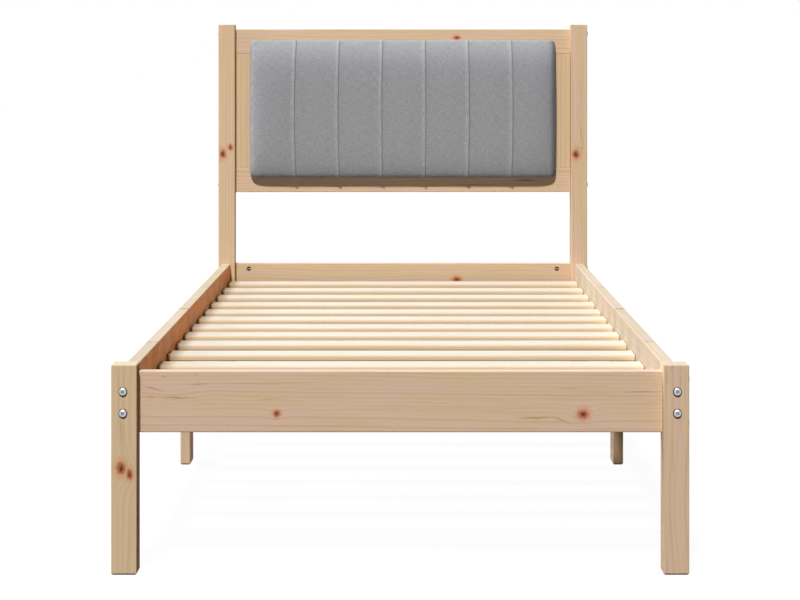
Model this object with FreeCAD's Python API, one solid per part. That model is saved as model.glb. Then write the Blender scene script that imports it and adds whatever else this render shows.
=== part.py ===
import FreeCAD, Part
import math
import os

# Single bed frame of solid pine with an upholstered headboard, as its separate pieces.
# Lengths are in millimetres. The origin is on the floor under the middle of the bed.
# +X runs to the right seen from the foot end, +Y towards the headboard and +Z up.

V = FreeCAD.Vector
X_AXIS = V(1, 0, 0)
Y_AXIS = V(0, 1, 0)
Z_AXIS = V(0, 0, 1)
SIDES = (-1, 1)

# Mattress that lies between the boards
mattress_width = 900.0
mattress_length = 2000.0
mattress_room = 1.5

# Posts at the four corners
post_size = 43.0
post_above_board = 13.4
post_edge_radius = 2.0
post_top_chamfer = 1.5
post_foot_chamfer = 3.0

# Side rails and cross boards
under_bed_height = 234.8
board_thickness = 22.0
board_height = 102.8
board_edge_radius = 2.0
rail_inset = 9.0

# Legs under the middle of the side rails
mid_leg_depth = 60.0
stud_in_leg = 35.0
stud_diameter = 8.0
insert_nut_diameter = 12.0
insert_nut_length = 20.0

# Slats and the ledgers that carry them
slat_width = 70.0
slat_thickness = 12.0
slat_edge_radius = 5.2
slat_drop = 42.6
slat_end_gap = 1.5
slat_place_shares = (
    0.039, 0.115, 0.192, 0.270, 0.348, 0.420, 0.489, 0.562, 0.634, 0.712, 0.794, 0.877, 0.962,
)
ledger_width = 20.0
ledger_height = 30.0
ledger_edge_bevel = 1.5
ledger_nut_clearance = 5.0
ledger_screw_gap_step = 3
ledger_screw_bite = 14.0

# Headboard frame between the tall posts
headboard_gap = 186.9
post_above_headboard = 11.8
top_rail_height = 63.4
bottom_rail_height = 64.5
headboard_opening = 300.0
stile_width = 90.0
stile_edge_bevel = 1.5
stile_top_bevel = 1.9
tenon_length = 14.0
tenon_thickness = 8.0
tenon_shoulder = 15.0
top_rail_bolt_drop = 12.0
bottom_rail_bolt_rise = 20.0

# Upholstered pad on the headboard frame
pad_side_gap = 38.0
pad_over_top_rail = 35.5
pad_over_bottom_rail = 28.5
pad_depth = 38.5
pad_crown = 2.0
pad_draw_in = 1.5
pad_edge_radius = 13.0
pad_top_corner_radius = 20.0
pad_bottom_corner_radius = 11.0
pad_seat_gap = 0.3
channel_count = 7
channel_crown = 1.5
tuck_width = 9.0
tuck_crest = 3.0
tuck_height = 3.5
cover_thickness = 1.5
cover_hem = 22.0
pad_board_thickness = 9.0
pad_board_corner_ease = 4.0
pad_screw_bite = 6.0
pad_screw_end_inset = 70.0
soft_clearance = 0.3

# Bolts, barrel nuts and screws
bolt_diameter = 8.0
bolt_head_diameter = 14.4
bolt_head_height = 4.4
bolt_dome_angles = (0, 35, 65)
bolt_socket_width = 5.0
bolt_socket_depth = 2.6
bolt_tail = 3.0
bolt_bore_clearance = 0.25
thread_clearance = 0.1
nut_diameter = 12.0
nut_cover = 2.0
rail_nut_setback = 30.0
board_nut_setback = 35.0
rail_bolt_height_shares = (0.346, 0.697)
board_bolt_height_shares = (0.139, 0.861)
screw_diameter = 4.0
screw_head_diameter = 8.0
screw_head_height = 2.4
screw_play = 0.1
bore_end_room = 1.0

# Bolts, nuts, screws and their bores are many-sided, so that so many of them stay light
bolt_sides = 12
bolt_socket_sides = 6
screw_sides = 8

# Share of a wall that a rounded edge may take, stations of the pad, and the overrun of every cut
edge_limit_share = 0.45
parallel_limit_share = 1e-6
pad_edge_limit_share = 0.95
pad_end_angles = (0, 30, 60, 90)
pad_crown_shares = (0.25, 0.75)
overrun = 5.0

# Places that follow from the sizes
clear_width = mattress_width + 2 * mattress_room
clear_length = mattress_length + 2 * mattress_room
rail_inner_x = clear_width / 2
rail_outer_x = rail_inner_x + board_thickness
rail_mid_x = (rail_inner_x + rail_outer_x) / 2
post_outer_x = rail_outer_x + rail_inset
post_inner_x = post_outer_x - post_size
half_length = (post_size + clear_length + board_thickness) / 2
foot_post_front_y = -half_length
foot_post_back_y = foot_post_front_y + post_size
head_back_y = half_length
head_post_front_y = head_back_y - post_size
head_front_y = head_back_y - board_thickness
foot_board_front_y = foot_post_back_y - board_thickness
foot_board_mid_y = foot_post_back_y - board_thickness / 2
head_mid_y = head_back_y - board_thickness / 2

board_bottom_z = under_bed_height
board_top_z = board_bottom_z + board_height
foot_post_height = board_top_z + post_above_board
slat_top_z = board_top_z - slat_drop
ledger_top_z = slat_top_z - slat_thickness
ledger_bottom_z = ledger_top_z - ledger_height
ledger_end_gap = rail_nut_setback + nut_diameter / 2 + ledger_nut_clearance
slat_half_length = rail_inner_x - slat_end_gap
slat_places = [foot_post_back_y + share * clear_length for share in slat_place_shares]

bottom_rail_bottom_z = board_top_z + headboard_gap
bottom_rail_top_z = bottom_rail_bottom_z + bottom_rail_height
top_rail_bottom_z = bottom_rail_top_z + headboard_opening
top_rail_top_z = top_rail_bottom_z + top_rail_height
headboard_post_height = top_rail_top_z + post_above_headboard
top_rail_bolt_z = top_rail_top_z - top_rail_bolt_drop
bottom_rail_bolt_z = bottom_rail_bottom_z + bottom_rail_bolt_rise
stile_mid_xs = (-post_inner_x + stile_width / 2, 0, post_inner_x - stile_width / 2)

pad_half_width = post_inner_x - pad_side_gap
pad_bottom_z = bottom_rail_top_z - pad_over_bottom_rail
pad_top_z = top_rail_bottom_z + pad_over_top_rail
pad_back_y = head_front_y - pad_seat_gap
pad_board_half_width = pad_half_width - pad_draw_in - cover_thickness - soft_clearance
channel_pitch = 2 * pad_half_width / channel_count
foam_inset = cover_thickness + soft_clearance
foam_back = cover_thickness + pad_board_thickness
foam_room = pad_depth - pad_crown - foam_inset - foam_back
pad_round = min(pad_edge_radius, foam_inset + pad_edge_limit_share * foam_room / 2)
nut_length = board_thickness - 2 * nut_cover


def block(x_ends, y_ends, z_ends):
    """A box between two places on each axis."""
    low = V(min(x_ends), min(y_ends), min(z_ends))
    high = V(max(x_ends), max(y_ends), max(z_ends))
    size = high - low
    return Part.makeBox(size.x, size.y, size.z, low)


def edges_along(shape, axis):
    """The straight edges of a shape that run along an axis."""
    found = []
    for edge in shape.Edges:
        run = edge.Vertexes[-1].Point - edge.Vertexes[0].Point
        if run.Length > 0 and run.cross(axis).Length < parallel_limit_share * run.Length:
            found.append(edge)
    return found


def edge_limit(shape, axis):
    """The most that an edge along an axis may lose, from the thinner wall across that axis."""
    box = shape.BoundBox
    lengths = zip((box.XLength, box.YLength, box.ZLength), axis)
    return edge_limit_share * min(length for length, along in lengths if along == 0)


def eased(shape, axis, radius):
    """Rounds the edges along an axis, never past what the walls allow."""
    return shape.makeFillet(min(radius, edge_limit(shape, axis)), edges_along(shape, axis))


def bevelled(shape, axis, width):
    """Bevels the edges along an axis, never past what the walls allow."""
    return shape.makeChamfer(min(width, edge_limit(shape, axis)), edges_along(shape, axis))


def moved(shape, place, direction):
    """A shape that was made along +Z from the origin, set at a place and pointed in a direction."""
    placement = FreeCAD.Placement(place, FreeCAD.Rotation(Z_AXIS, direction))
    return shape.transformed(placement.toMatrix(), True)


def ring(radius, height, sides):
    """A many-sided outline round Z at one height."""
    turns = [2 * math.pi * corner / sides for corner in range(sides)]
    corners = [V(radius * math.cos(turn), radius * math.sin(turn), height) for turn in turns]
    return Part.makePolygon(corners + corners[:1])


def prism(radius, low, high, sides):
    """A straight many-sided bar round Z."""
    return Part.Face(ring(radius, low, sides)).extrude(Z_AXIS * (high - low))


def rod(start, direction, diameter, length):
    """A straight bar or bore of the bolts' many-sided section."""
    return moved(prism(diameter / 2, 0, length, bolt_sides), start, direction)


def domed_bolt(length):
    """A bolt along +Z with its domed head below the origin and a hexagon socket in the dome."""
    top_angle = math.radians(bolt_dome_angles[-1])
    rings = []
    for angle in bolt_dome_angles:
        turn = math.radians(angle)
        height = -bolt_head_height * math.sin(turn) / math.sin(top_angle)
        rings.append(ring(bolt_head_diameter / 2 * math.cos(turn), height, bolt_sides))
    head = Part.makeLoft(rings, True, True)
    shank = prism(bolt_diameter / 2, 0, length, bolt_sides)
    socket_bottom = bolt_socket_depth - bolt_head_height
    socket_radius = bolt_socket_width / 2 / math.cos(math.pi / bolt_socket_sides)
    socket = prism(socket_radius, -bolt_head_height - overrun, socket_bottom, bolt_socket_sides)
    return head.fuse(shank).removeSplitter().cut(socket)


def countersunk_screw(length, play, above):
    """A countersunk screw along +Z, grown by a play and carried on above its head for a hole."""
    head_radius = screw_head_diameter / 2 + play
    shank_radius = screw_diameter / 2 + play
    rings = [ring(head_radius, 0, screw_sides), ring(shank_radius, screw_head_height, screw_sides)]
    rings.append(ring(shank_radius, length + play, screw_sides))
    if above:
        rings.insert(0, ring(head_radius, -above, screw_sides))
    return Part.makeLoft(rings, True, True)


class BoltJoint:
    """A bolt through a post into the end of a board, with a barrel nut across the board."""

    def __init__(self, seat, direction, setback, nut_mouth):
        self.seat = seat
        self.direction = direction
        self.setback = setback
        self.nut_mouth = nut_mouth
        self.board_end = seat + direction * post_size
        self.nut_centre = self.board_end + direction * setback
        self.reach = setback + nut_diameter / 2 + bolt_tail

    def bolt(self):
        return moved(domed_bolt(post_size + self.reach), self.seat, self.direction)

    def nut(self):
        start = self.nut_centre - self.nut_mouth * (nut_length / 2)
        body = rod(start, self.nut_mouth, nut_diameter, nut_length)
        bore_start = self.nut_centre - self.direction * nut_diameter
        bore = rod(bore_start, self.direction, bolt_diameter + 2 * thread_clearance, 2 * nut_diameter)
        return body.cut(bore)

    def post_bore(self):
        start = self.seat - self.direction * overrun
        return rod(start, self.direction, bolt_diameter + 2 * bolt_bore_clearance, post_size + 2 * overrun)

    def board_bores(self):
        start = self.board_end - self.direction * overrun
        bolt_bore_length = overrun + self.reach + bore_end_room
        bolt_bore = rod(start, self.direction, bolt_diameter + 2 * bolt_bore_clearance, bolt_bore_length)
        nut_start = self.nut_centre - self.nut_mouth * (nut_length / 2)
        nut_bore_length = nut_length + nut_cover + overrun
        nut_bore = rod(nut_start, self.nut_mouth, nut_diameter + 2 * thread_clearance, nut_bore_length)
        return [bolt_bore, nut_bore]


def side_rail_joints(side, end):
    """The two bolts that run along the bed into one end of a side rail."""
    seat_y = foot_post_front_y if end < 0 else head_back_y
    joints = []
    for share in rail_bolt_height_shares:
        seat = V(side * rail_mid_x, seat_y, board_bottom_z + share * board_height)
        joints.append(BoltJoint(seat, Y_AXIS * -end, rail_nut_setback, X_AXIS * -side))
    return joints


def cross_board_joints(side, end):
    """The two bolts that run across the bed into one end of the foot board or the head board."""
    seat_y = foot_board_mid_y if end < 0 else head_mid_y
    joints = []
    for share in board_bolt_height_shares:
        seat = V(side * post_outer_x, seat_y, board_bottom_z + share * board_height)
        joints.append(BoltJoint(seat, X_AXIS * -side, board_nut_setback, Y_AXIS * -end))
    return joints


def headboard_joint(side, z):
    """The bolt that runs across the bed into one end of a headboard rail, with its nut from behind."""
    return BoltJoint(V(side * post_outer_x, head_mid_y, z), X_AXIS * -side, board_nut_setback, Y_AXIS)


def level_frame(x_ends, y_ends, z, inset):
    """A level rectangle, inset on every side."""
    low_x, high_x = min(x_ends) + inset, max(x_ends) - inset
    low_y, high_y = min(y_ends) + inset, max(y_ends) - inset
    corners = [V(low_x, low_y, z), V(high_x, low_y, z), V(high_x, high_y, z), V(low_x, high_y, z)]
    return Part.makePolygon(corners + corners[:1])


def upright(x_ends, y_ends, height, top_chamfer):
    """A standing piece with rounded corners, a chamfered foot and a chamfered top."""
    levels = [(0, post_foot_chamfer), (post_foot_chamfer, 0), (height - top_chamfer, 0)]
    if top_chamfer:
        levels.append((height, top_chamfer))
    frames = [level_frame(x_ends, y_ends, z, inset) for z, inset in levels]
    chamfered = Part.makeLoft(frames, True, True)
    return eased(block(x_ends, y_ends, (0, height)), Z_AXIS, post_edge_radius).common(chamfered)


def post(side, end):
    """A corner post, bored for the bolts that meet in it."""
    height = foot_post_height if end < 0 else headboard_post_height
    front_y = foot_post_front_y if end < 0 else head_post_front_y
    x_ends = (side * post_inner_x, side * post_outer_x)
    shape = upright(x_ends, (front_y, front_y + post_size), height, post_top_chamfer)
    joints = side_rail_joints(side, end) + cross_board_joints(side, end)
    if end > 0:
        joints += [headboard_joint(side, top_rail_bolt_z), headboard_joint(side, bottom_rail_bolt_z)]
    return shape.cut([joint.post_bore() for joint in joints])


def cross_board(end):
    """The board between two posts, at the foot or at the head of the mattress."""
    front_y = foot_board_front_y if end < 0 else head_front_y
    y_ends = (front_y, front_y + board_thickness)
    shape = block((-post_inner_x, post_inner_x), y_ends, (board_bottom_z, board_top_z))
    shape = eased(shape, X_AXIS, board_edge_radius)
    bores = []
    for side in SIDES:
        for joint in cross_board_joints(side, end):
            bores += joint.board_bores()
    return shape.cut(bores)


def ledger_screw_ys():
    """Places of the ledger screws, half way between neighbouring slats."""
    gaps = range(ledger_screw_gap_step // 2, len(slat_places) - 1, ledger_screw_gap_step)
    return [(slat_places[gap] + slat_places[gap + 1]) / 2 for gap in gaps]


def ledger_screws(side, play, above):
    """The screws that hold a ledger to its rail, or their holes when they have a play."""
    screw = countersunk_screw(ledger_width + ledger_screw_bite, play, above)
    head_x = side * (rail_inner_x - ledger_width)
    head_z = (ledger_top_z + ledger_bottom_z) / 2
    return [moved(screw, V(head_x, y, head_z), X_AXIS * side) for y in ledger_screw_ys()]


def stud_hole(side, diameter, depth):
    """A hole upward into the rail, or downward into the leg for a depth below zero, on the leg's axis."""
    direction = Z_AXIS if depth > 0 else -Z_AXIS
    start = V(side * rail_mid_x, 0, board_bottom_z) - direction * overrun
    return rod(start, direction, diameter, abs(depth) + overrun)


def side_rail(side):
    """A side rail between a foot post and a headboard post."""
    shape = block(
        (side * rail_inner_x, side * rail_outer_x),
        (foot_post_back_y, head_post_front_y),
        (board_bottom_z, board_top_z),
    )
    shape = eased(shape, Y_AXIS, board_edge_radius)
    bores = ledger_screws(side, screw_play, overrun)
    for end in SIDES:
        for joint in side_rail_joints(side, end):
            bores += joint.board_bores()
    insert_hole_diameter = insert_nut_diameter + 2 * thread_clearance
    bores.append(stud_hole(side, insert_hole_diameter, insert_nut_length + bore_end_room))
    return shape.cut(bores)


def ledger(side):
    """The strip along the inner face of a side rail that the slats lie on."""
    shape = block(
        (side * (rail_inner_x - ledger_width), side * rail_inner_x),
        (foot_post_back_y + ledger_end_gap, head_post_front_y - ledger_end_gap),
        (ledger_bottom_z, ledger_top_z),
    )
    return bevelled(shape, Y_AXIS, ledger_edge_bevel).cut(ledger_screws(side, screw_play, overrun))


def slat(mid_y):
    """A slat from ledger to ledger, with its upper edges rounded."""
    shape = block(
        (-slat_half_length, slat_half_length),
        (mid_y - slat_width / 2, mid_y + slat_width / 2),
        (ledger_top_z, slat_top_z),
    )
    upper_edges = [edge for edge in edges_along(shape, X_AXIS) if edge.CenterOfMass.z > shape.CenterOfMass.z]
    return shape.makeFillet(min(slat_edge_radius, edge_limit(shape, X_AXIS)), upper_edges)


def mid_leg(side):
    """A flat leg in line under the middle of a side rail, screwed on by a stud in its top."""
    x_ends = (side * rail_inner_x, side * rail_outer_x)
    shape = upright(x_ends, (-mid_leg_depth / 2, mid_leg_depth / 2), board_bottom_z, 0)
    return shape.cut(stud_hole(side, stud_diameter + 2 * thread_clearance, -stud_in_leg - bore_end_room))


def mid_leg_stud(side):
    """The stud between a mid leg and the insert nut above it."""
    start = V(side * rail_mid_x, 0, board_bottom_z - stud_in_leg)
    return rod(start, Z_AXIS, stud_diameter, stud_in_leg + insert_nut_length)


def mid_leg_insert_nut(side):
    """The threaded sleeve in the underside of a rail that takes a mid leg's stud."""
    start = V(side * rail_mid_x, 0, board_bottom_z)
    body = rod(start, Z_AXIS, insert_nut_diameter, insert_nut_length)
    return body.cut(stud_hole(side, stud_diameter + 2 * thread_clearance, insert_nut_length + overrun))


def tenon(mid_x, inner_edge_z, direction, play):
    """The stub tenon at one end of a stile, or its mortise when it has a play."""
    half_width = stile_width / 2 - tenon_shoulder + play
    half_thickness = tenon_thickness / 2 + play
    root_z = inner_edge_z - direction * overrun
    tip_z = inner_edge_z + direction * (tenon_length + play)
    return block(
        (mid_x - half_width, mid_x + half_width),
        (head_mid_y - half_thickness, head_mid_y + half_thickness),
        (root_z, tip_z),
    )


def headboard_rail(bottom_z, top_z, bolt_z, inner_edge_z, direction):
    """A rail of the headboard, mortised for the stiles and bored at both ends; square edges over stiles."""
    shape = block((-post_inner_x, post_inner_x), (head_front_y, head_back_y), (bottom_z, top_z))
    edges = edges_along(shape, X_AXIS)
    if direction > 0:
        edges = [edge for edge in edges if edge.CenterOfMass.z > shape.CenterOfMass.z]
    shape = shape.makeFillet(min(board_edge_radius, edge_limit(shape, X_AXIS)), edges)
    cuts = [tenon(mid_x, inner_edge_z, direction, thread_clearance) for mid_x in stile_mid_xs]
    for side in SIDES:
        cuts += headboard_joint(side, bolt_z).board_bores()
    return shape.cut(cuts)


def stile_pad_screws(mid_x, play, above):
    """The screws through one stile into the pad's board, or their holes when they have a play."""
    low_x = max(mid_x - stile_width / 2, -pad_board_half_width)
    high_x = min(mid_x + stile_width / 2, pad_board_half_width)
    x = (low_x + high_x) / 2
    length = board_thickness + pad_seat_gap + cover_thickness + pad_screw_bite
    screw = countersunk_screw(length, play, above)
    heights = (pad_bottom_z + pad_screw_end_inset, pad_top_z - pad_screw_end_inset)
    return [moved(screw, V(x, head_back_y, z), -Y_AXIS) for z in heights]


def all_pad_screws(play, above):
    """The pad's screws in every stile."""
    screws = []
    for mid_x in stile_mid_xs:
        screws += stile_pad_screws(mid_x, play, above)
    return screws


def stile(mid_x):
    """An upright of the headboard frame with a stub tenon at each end and a bevelled top."""
    shape = block(
        (mid_x - stile_width / 2, mid_x + stile_width / 2),
        (head_front_y, head_back_y),
        (bottom_rail_top_z, top_rail_bottom_z),
    )
    top_edges = [edge for edge in edges_along(shape, X_AXIS) if edge.CenterOfMass.z > shape.CenterOfMass.z]
    shape = shape.makeChamfer(min(stile_top_bevel, edge_limit(shape, X_AXIS)), top_edges)
    shape = bevelled(shape, Z_AXIS, stile_edge_bevel)
    shape = shape.fuse([tenon(mid_x, top_rail_bottom_z, 1, 0), tenon(mid_x, bottom_rail_top_z, -1, 0)])
    return shape.removeSplitter().cut(stile_pad_screws(mid_x, screw_play, overrun))


def pad_point(x, depth, z):
    """A point of the pad by its depth in front of the headboard frame."""
    return V(x, pad_back_y - depth, z)


def front_run(start_x, end_x, depth, z, tucked):
    """The front of the pad at one height: a straight run, or crowned channels between raised tucks."""
    if not tucked:
        return [Part.LineSegment(pad_point(start_x, depth, z), pad_point(end_x, depth, z)).toShape()]
    edges = []
    here = pad_point(start_x, depth, z)
    for seam in range(1, channel_count + 1):
        seam_x = seam * channel_pitch - pad_half_width
        last = seam == channel_count
        channel_end = pad_point(end_x if last else seam_x - tuck_width / 2, depth, z)
        channel_mid = pad_point((here.x + channel_end.x) / 2, depth + channel_crown, z)
        edges.append(Part.Arc(here, channel_mid, channel_end).toShape())
        if last:
            break
        crest_left = pad_point(seam_x - tuck_crest / 2, depth + tuck_height, z)
        crest_right = pad_point(seam_x + tuck_crest / 2, depth + tuck_height, z)
        here = pad_point(seam_x + tuck_width / 2, depth, z)
        for first, second in ((channel_end, crest_left), (crest_left, crest_right), (crest_right, here)):
            edges.append(Part.LineSegment(first, second).toShape())
    return edges


def pad_outline(half_width, back, depth, radius, z, tucked):
    """The pad's outline at one height: flat back, straight sides, rounded edges and its front."""
    shoulder = radius * (1 - math.sin(math.radians(45)))
    back_left = pad_point(-half_width, back, z)
    back_right = pad_point(half_width, back, z)
    side_left = pad_point(-half_width, depth - radius, z)
    side_right = pad_point(half_width, depth - radius, z)
    round_left = pad_point(shoulder - half_width, depth - shoulder, z)
    round_right = pad_point(half_width - shoulder, depth - shoulder, z)
    front_left = pad_point(radius - half_width, depth, z)
    front_right = pad_point(half_width - radius, depth, z)
    edges = [Part.LineSegment(back_right, back_left).toShape()]
    edges.append(Part.LineSegment(back_left, side_left).toShape())
    edges.append(Part.Arc(side_left, round_left, front_left).toShape())
    edges += front_run(front_left.x, front_right.x, depth, z, tucked)
    edges.append(Part.Arc(front_right, round_right, side_right).toShape())
    edges.append(Part.LineSegment(side_right, back_right).toShape())
    return Part.Wire(edges)


def pad_end_stations(corner, radius, half_width, depth):
    """Rise, half width and depth of the pad's outline on the way round one end to its full size."""
    stations = []
    for angle in pad_end_angles:
        turn = math.radians(angle)
        lift = 1 - math.sin(turn)
        stations.append((corner * (1 - math.cos(turn)), half_width - corner * lift, depth - radius * lift))
    return stations


def pad_form(inset, back, tucked):
    """The padded body as a loft from its lower edge to its upper edge, inset on every side."""
    half_width = pad_half_width - inset
    depth = pad_depth - pad_crown - inset
    radius = pad_round - inset
    bottom_z = pad_bottom_z + inset
    height = pad_top_z - pad_bottom_z - 2 * inset
    stations = pad_end_stations(pad_bottom_corner_radius - inset, radius, half_width, depth)
    for share in pad_crown_shares:
        swell = 1 - (2 * share - 1) ** 2
        stations.append((share * height, half_width - swell * pad_draw_in, depth + swell * pad_crown))
    upper = pad_end_stations(pad_top_corner_radius - inset, radius, half_width, depth)
    stations += [(height - drop, width, end_depth) for drop, width, end_depth in reversed(upper)]
    outlines = []
    for rise, width, station_depth in stations:
        outlines.append(pad_outline(width, back, station_depth, radius, bottom_z + rise, tucked))
    return Part.makeLoft(outlines, True, True)


def pad_cover():
    """The sewn cover: a shell over the foam, turned round to a hem behind the board."""
    outer = pad_form(0, 0, True)
    hollow = pad_form(cover_thickness, cover_thickness, False)
    window = block(
        (cover_hem - pad_half_width, pad_half_width - cover_hem),
        (pad_back_y + overrun, pad_back_y - cover_thickness - overrun),
        (pad_bottom_z + cover_hem, pad_top_z - cover_hem),
    )
    return outer.cut([hollow, window] + all_pad_screws(screw_play, overrun))


def pad_foam():
    """The foam between the board and the cover."""
    return pad_form(foam_inset, foam_back, False)


def pad_board():
    """The board inside the pad that takes the screws, with rounded corners."""
    back_y = pad_back_y - cover_thickness
    shape = block(
        (-pad_board_half_width, pad_board_half_width),
        (back_y, back_y - pad_board_thickness),
        (pad_bottom_z + foam_inset, pad_top_z - foam_inset),
    )
    corner_radius = max(pad_top_corner_radius, pad_bottom_corner_radius) + pad_board_corner_ease
    shape = shape.makeFillet(corner_radius, edges_along(shape, Y_AXIS))
    return shape.cut(all_pad_screws(screw_play, overrun))


def all_joints(kind):
    """Every bolt joint of one kind."""
    joints = []
    for side in SIDES:
        if kind == "headboard":
            joints += [headboard_joint(side, top_rail_bolt_z), headboard_joint(side, bottom_rail_bolt_z)]
            continue
        for end in SIDES:
            joints += side_rail_joints(side, end) if kind == "side_rail" else cross_board_joints(side, end)
    return joints


def build():
    """Every node of the bed by its name."""
    nodes = {}
    for side, name in zip(SIDES, ("left", "right")):
        nodes["foot_post_" + name] = post(side, -1)
        nodes["headboard_post_" + name] = post(side, 1)
        nodes["side_rail_" + name] = side_rail(side)
        nodes["slat_ledger_" + name] = ledger(side)
        nodes["mid_leg_" + name] = mid_leg(side)
    nodes["foot_board"] = cross_board(-1)
    nodes["head_board"] = cross_board(1)
    for number, mid_y in enumerate(slat_places, 1):
        nodes["slat_%02d" % number] = slat(mid_y)
    nodes["headboard_top_rail"] = headboard_rail(
        top_rail_bottom_z, top_rail_top_z, top_rail_bolt_z, top_rail_bottom_z, 1
    )
    nodes["headboard_bottom_rail"] = headboard_rail(
        bottom_rail_bottom_z, bottom_rail_top_z, bottom_rail_bolt_z, bottom_rail_top_z, -1
    )
    for mid_x, name in zip(stile_mid_xs, ("left", "centre", "right")):
        nodes["headboard_stile_" + name] = stile(mid_x)
    nodes["pad_board"] = pad_board()
    nodes["pad_foam"] = pad_foam()
    nodes["pad_cover"] = pad_cover()
    for kind in ("side_rail", "cross_board", "headboard"):
        joints = all_joints(kind)
        nodes[kind + "_bolts"] = Part.makeCompound([joint.bolt() for joint in joints])
        nodes[kind + "_barrel_nuts"] = Part.makeCompound([joint.nut() for joint in joints])
    nodes["mid_leg_studs"] = Part.makeCompound([mid_leg_stud(side) for side in SIDES])
    nodes["mid_leg_insert_nuts"] = Part.makeCompound([mid_leg_insert_nut(side) for side in SIDES])
    nodes["ledger_screws"] = Part.makeCompound(ledger_screws(-1, 0, 0) + ledger_screws(1, 0, 0))
    nodes["pad_screws"] = Part.makeCompound(all_pad_screws(0, 0))
    return nodes


os.makedirs("parts", exist_ok=True)
for name, shape in build().items():
    shape.exportStep("parts/%s.step" % name)
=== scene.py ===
import math

import bmesh
import bpy
from mathutils import Matrix, Vector


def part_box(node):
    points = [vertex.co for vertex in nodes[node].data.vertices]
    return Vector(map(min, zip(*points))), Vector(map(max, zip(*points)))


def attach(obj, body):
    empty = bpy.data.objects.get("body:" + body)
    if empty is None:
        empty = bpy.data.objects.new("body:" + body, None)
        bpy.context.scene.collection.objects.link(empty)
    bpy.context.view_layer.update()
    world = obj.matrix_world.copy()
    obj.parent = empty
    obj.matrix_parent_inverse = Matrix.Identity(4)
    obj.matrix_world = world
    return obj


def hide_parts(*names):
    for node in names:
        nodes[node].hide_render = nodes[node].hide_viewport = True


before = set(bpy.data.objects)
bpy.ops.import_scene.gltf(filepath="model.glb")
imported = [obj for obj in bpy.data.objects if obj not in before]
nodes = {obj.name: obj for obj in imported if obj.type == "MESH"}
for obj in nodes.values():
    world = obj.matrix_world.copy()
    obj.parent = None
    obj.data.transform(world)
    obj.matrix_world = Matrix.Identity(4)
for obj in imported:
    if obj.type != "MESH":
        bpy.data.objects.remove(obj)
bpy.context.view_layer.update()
MM = 0.001


# Colours and nodes

def srgb(red, green, blue):
    """A colour given as screen values from 0 to 255, as the linear colour that a shader takes."""
    linear = []
    for value in (red, green, blue):
        share = value / 255
        linear.append(share / 12.92 if share <= 0.04045 else ((share + 0.055) / 1.055) ** 2.4)
    return (*linear, 1.0)


# Sockets of the mix node when it mixes colours
MIX_FACTOR, MIX_FIRST, MIX_SECOND, MIX_RESULT = 0, 6, 7, 2


class Shade:
    """Adds nodes to one node tree. An argument is a number, a vector, a colour or another node's output."""

    def __init__(self, tree):
        self.tree = tree

    def put(self, socket, value):
        if isinstance(value, bpy.types.NodeSocket):
            self.tree.links.new(value, socket)
        elif value is not None:
            socket.default_value = value

    def node(self, kind, settings=None, inputs=None):
        made = self.tree.nodes.new(kind)
        for name, value in (settings or {}).items():
            setattr(made, name, value)
        for name, value in (inputs or {}).items():
            self.put(made.inputs[name], value)
        return made

    def math(self, operation, first, second=None, third=None):
        made = self.node("ShaderNodeMath", {"operation": operation})
        for socket, value in zip(made.inputs, (first, second, third)):
            self.put(socket, value)
        return made.outputs[0]

    def vector(self, operation, first, second=None, third=None):
        made = self.node("ShaderNodeVectorMath", {"operation": operation})
        for socket, value in zip(made.inputs, (first, second, third)):
            self.put(socket, value)
        return made.outputs["Value" if operation in ("LENGTH", "DOT_PRODUCT") else "Vector"]

    def split(self, vector):
        return self.node("ShaderNodeSeparateXYZ", inputs={"Vector": vector}).outputs

    def join(self, x, y, z):
        return self.node("ShaderNodeCombineXYZ", inputs={"X": x, "Y": y, "Z": z}).outputs[0]

    def fade(self, value, start, end, low=0.0, high=1.0):
        """A smooth step from low to high as the value goes from start to end."""
        inputs = {"Value": value, "From Min": start, "From Max": end, "To Min": low, "To Max": high}
        made = self.node("ShaderNodeMapRange", {"interpolation_type": "SMOOTHSTEP"}, inputs)
        return made.outputs["Result"]

    def noise(self, vector, scale, detail=2.0, roughness=0.5):
        inputs = {"Vector": vector, "Scale": scale, "Detail": detail, "Roughness": roughness}
        return self.node("ShaderNodeTexNoise", inputs=inputs).outputs["Fac"]

    def chance(self, number):
        """A value from 0 to 1 that is different for every number."""
        made = self.node("ShaderNodeTexWhiteNoise", {"noise_dimensions": "1D"}, {"W": number})
        return made.outputs["Value"]

    def mix(self, factor, first, second, blend="MIX"):
        made = self.node("ShaderNodeMix", {"data_type": "RGBA", "blend_type": blend})
        for socket, value in ((MIX_FACTOR, factor), (MIX_FIRST, first), (MIX_SECOND, second)):
            self.put(made.inputs[socket], value)
        return made.outputs[MIX_RESULT]

    def dimmed(self, colour, share):
        """A colour times one number."""
        return self.mix(1.0, colour, self.join(share, share, share), "MULTIPLY")

    def tinted(self, colour, mask, change):
        """A colour whose red, green and blue change by the given shares where the mask is 1."""
        factor = self.vector("MULTIPLY_ADD", self.join(mask, mask, mask), change, (1.0, 1.0, 1.0))
        return self.vector("MULTIPLY", colour, factor)

    def bump(self, surface, height, strength, depth):
        """Makes a surface uneven by a height."""
        inputs = {"Strength": strength, "Distance": depth, "Height": height}
        made = self.node("ShaderNodeBump", inputs=inputs)
        self.put(surface.inputs["Normal"], made.outputs["Normal"])

    def group(self, tree, inputs):
        made = self.node("ShaderNodeGroup", {"node_tree": tree})
        for name, value in inputs.items():
            self.put(made.inputs[name], value)
        return made.outputs


SOCKETS = {"value": "NodeSocketFloat", "vector": "NodeSocketVector", "colour": "NodeSocketColor"}


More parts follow.
